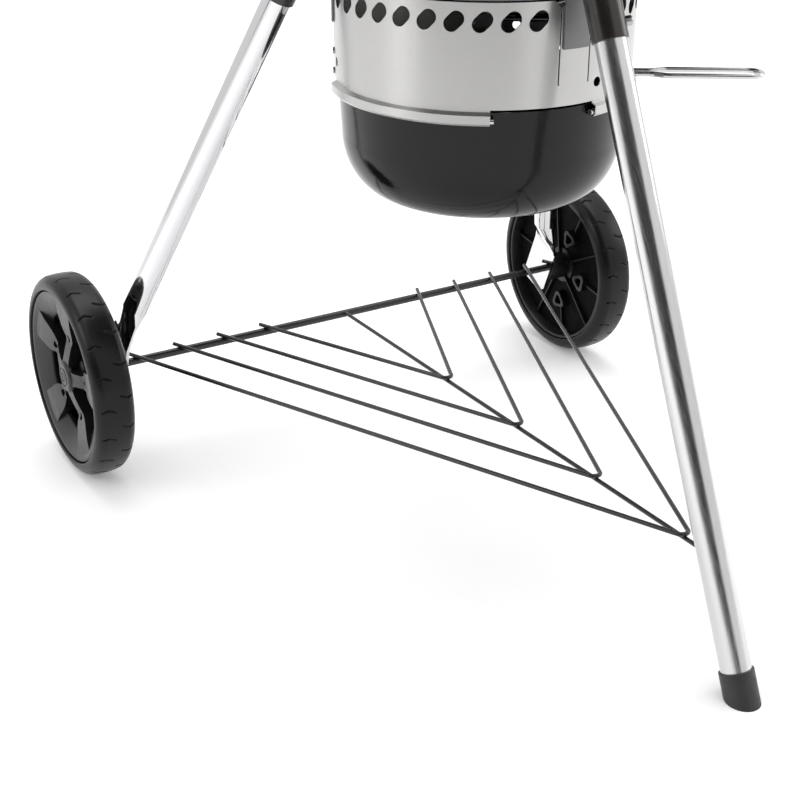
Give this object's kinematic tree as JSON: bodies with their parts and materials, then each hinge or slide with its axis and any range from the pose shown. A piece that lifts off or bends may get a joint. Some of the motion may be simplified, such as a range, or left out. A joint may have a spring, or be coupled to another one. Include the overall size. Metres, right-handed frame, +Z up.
{
  "type": "kettle charcoal grill",
  "caption": "Kettle charcoal grill: enamelled bowl and lid on a wheeled tripod with wire rack, vent cleaner, ash ring and twist-off ash pot.",
  "frame": {"origin": "middle of the footprint on the ground, under the grill", "axes": "+Z up; X along the wheel axle, +X to the right seen from the footed leg; the footed leg stands towards -Y"},
  "size_m": [0.69, 0.7558, 1.0012],
  "materials": {
    "black_enamel": "glossy black porcelain enamel",
    "polished_tube": "polished",
    "satin_tube": "brushed along its length",
    "brushed_ring": "fine brushing round the ring",
    "chrome_wire": "bright plated wire",
    "black_wire": "satin black",
    "zinc_hardware": "dull plated",
    "black_nylon": "fine moulded texture",
    "wheel_plastic": "satin moulded",
    "grate_steel": "plated wire",
    "iron_grate": "bare steel wire",
    "damper_plate": "satin",
    "dial_face": "white enamel with plain marks",
    "dial_glass": "clear",
    "pointer_red": "gloss"
  },
  "bodies": {
    "grill": {"bowl": "black_enamel", "grate_tabs": "black_enamel", "axle": "black_wire", "front_leg": "satin_tube", "rear_left_leg": "polished_tube", "rear_right_leg": "polished_tube", "front_foot_cap": "black_nylon", "rack_spine": "black_wire", "rack_wire_1": "black_wire", "rack_wire_2": "black_wire", "rack_wire_3": "black_wire", "rack_wire_4": "black_wire", "ash_ring": "brushed_ring", "ash_ring_bead_wires": "chrome_wire", "ash_ring_rivets": "zinc_hardware", "front_leg_socket": "black_enamel", "rear_left_leg_socket": "black_enamel", "rear_right_leg_socket": "black_enamel", "front_ring_bracket": "black_enamel", "rear_left_ring_bracket": "black_enamel", "rear_right_ring_bracket": "black_enamel", "left_axle_nut": "zinc_hardware", "right_axle_nut": "zinc_hardware", "left_handle_bracket": "black_enamel", "right_handle_bracket": "black_enamel", "left_bowl_handle": "black_nylon", "right_bowl_handle": "black_nylon", "left_handle_screws": "zinc_hardware", "right_handle_screws": "zinc_hardware"},
    "left_wheel": {"left_tyre": "wheel_plastic", "left_wheel_rim": "wheel_plastic", "left_hub_cap": "wheel_plastic"},
    "right_wheel": {"right_tyre": "wheel_plastic", "right_wheel_rim": "wheel_plastic", "right_hub_cap": "wheel_plastic"},
    "front_button": {"front_leg_button": "zinc_hardware"},
    "rear_left_button": {"rear_left_leg_button": "zinc_hardware"},
    "rear_right_button": {"rear_right_leg_button": "zinc_hardware"},
    "ash_pot": {"ash_pot": "black_enamel"},
    "cleaner": {"cleaning_lever": "chrome_wire", "lever_shaft": "zinc_hardware", "sweeper_blades": "zinc_hardware", "shaft_nut": "zinc_hardware"},
    "charcoal_grate": {"charcoal_grate": "iron_grate"},
    "cooking_grate": {"cooking_grate": "grate_steel"},
    "left_flap": {"left_grate_flap": "grate_steel"},
    "right_flap": {"right_grate_flap": "grate_steel"},
    "lid": {"lid": "black_enamel", "lid_handle": "black_nylon", "lid_handle_posts": "zinc_hardware", "lid_handle_screws": "zinc_hardware", "lid_damper_rivet": "zinc_hardware", "thermometer_case": "zinc_hardware", "thermometer_dial": "dial_face", "thermometer_glass": "dial_glass"},
    "lid_damper": {"lid_damper": "damper_plate"},
    "thermometer_pointer": {"thermometer_pointer": "pointer_red"}
  },
  "joints": [
    {"name": "left_wheel_spin", "type": "hinge", "parent": "grill", "child": "left_wheel", "pos_m": [-0.301, 0.27629, 0.102], "axis": [1, 0, 0], "continuous": true},
    {"name": "right_wheel_spin", "type": "hinge", "parent": "grill", "child": "right_wheel", "pos_m": [0.301, 0.27629, 0.102], "axis": [1, 0, 0], "continuous": true},
    {"name": "front_button_press", "type": "slide", "parent": "grill", "child": "front_button", "axis": [-0.8849, 0.4248, -0.1912], "range_m": [0, 0.003], "stiffness_N_per_m": 2000, "springref_m": -0.001},
    {"name": "rear_left_button_press", "type": "slide", "parent": "grill", "child": "rear_left_button", "axis": [0.8414, 0.5341, -0.0817], "range_m": [0, 0.003], "stiffness_N_per_m": 2000, "springref_m": -0.001},
    {"name": "rear_right_button_press", "type": "slide", "parent": "grill", "child": "rear_right_button", "axis": [0.1135, -0.9378, -0.3282], "range_m": [0, 0.003], "stiffness_N_per_m": 2000, "springref_m": -0.001},
    {"name": "ash_pot_twist", "type": "hinge", "parent": "grill", "child": "ash_pot", "pos_m": [0, 0.02329, 0.4163], "axis": [0, 0, 1], "range_deg": [0, 34]},
    {"name": "cleaner_swing", "type": "hinge", "parent": "grill", "child": "cleaner", "pos_m": [0, 0.02329, 0.478], "axis": [0, 0, 1], "range_deg": [-27, 33]},
    {"name": "charcoal_grate_lift", "type": "slide", "parent": "grill", "child": "charcoal_grate", "axis": [0, 0, 1], "range_m": [0, 0.08]},
    {"name": "cooking_grate_lift", "type": "slide", "parent": "grill", "child": "cooking_grate", "axis": [0, 0, 1], "range_m": [0, 0.06]},
    {"name": "left_flap_hinge", "type": "hinge", "parent": "cooking_grate", "child": "left_flap", "pos_m": [-0.1466, 0.02329, 0.69], "axis": [0, 1, 0], "range_deg": [0, 95]},
    {"name": "right_flap_hinge", "type": "hinge", "parent": "cooking_grate", "child": "right_flap", "pos_m": [0.1466, 0.02329, 0.69], "axis": [0, -1, 0], "range_deg": [0, 95]},
    {"name": "lid_lift", "type": "slide", "parent": "grill", "child": "lid", "axis": [0, 0, 1], "range_m": [0, 0.3]},
    {"name": "lid_damper_turn", "type": "hinge", "parent": "lid", "child": "lid_damper", "pos_m": [0, 0.17329, 0.90366], "axis": [0, 0.4215, 0.9068], "range_deg": [0, 45]},
    {"name": "thermometer_pointer_turn", "type": "hinge", "parent": "lid", "child": "thermometer_pointer", "pos_m": [0, -0.15471, 0.88883], "axis": [0, -0.5148, 0.8573], "range_deg": [-270, 0]}
  ]
}
